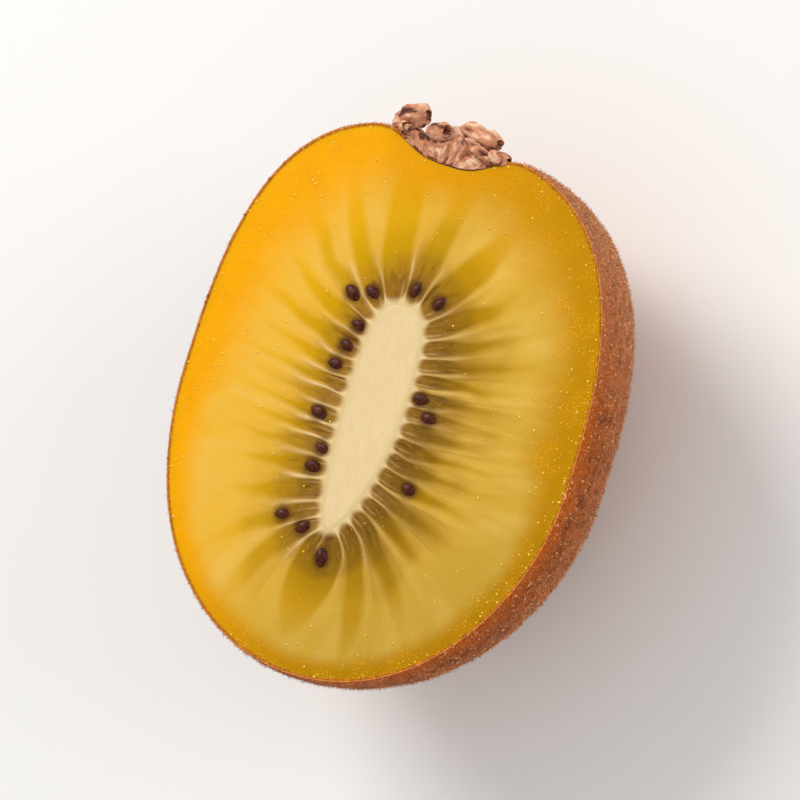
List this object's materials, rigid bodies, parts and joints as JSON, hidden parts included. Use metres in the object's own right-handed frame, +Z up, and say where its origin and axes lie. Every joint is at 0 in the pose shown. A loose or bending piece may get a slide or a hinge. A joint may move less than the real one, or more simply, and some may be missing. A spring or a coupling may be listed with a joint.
{
  "type": "golden kiwi fruit, cut half",
  "caption": "Half of a golden kiwi fruit, cut lengthwise, with thin brown skin, yellow flesh, a pale core ringed by dark seeds, and a dry calyx; it lies cut face up.",
  "frame": {"origin": "middle of the small flat spot on the rounded back that the half rests on", "axes": "+X along the fruit to the stem end with the calyx, +Y across the cut face, +Z up, out of the cut face"},
  "size_m": [0.0697, 0.0549, 0.0279],
  "materials": {
    "skin": "matt brown peel with fine grain and short fuzz",
    "flesh": "moist, slightly translucent golden flesh",
    "core": "moist cream core",
    "calyx": "dry, wrinkled brown sepals and scar",
    "seed": "glossy dark brown seed"
  },
  "bodies": {
    "root": {"skin": "skin", "flesh": "flesh", "core": "core", "calyx": "calyx"}
  },
  "joints": []
}
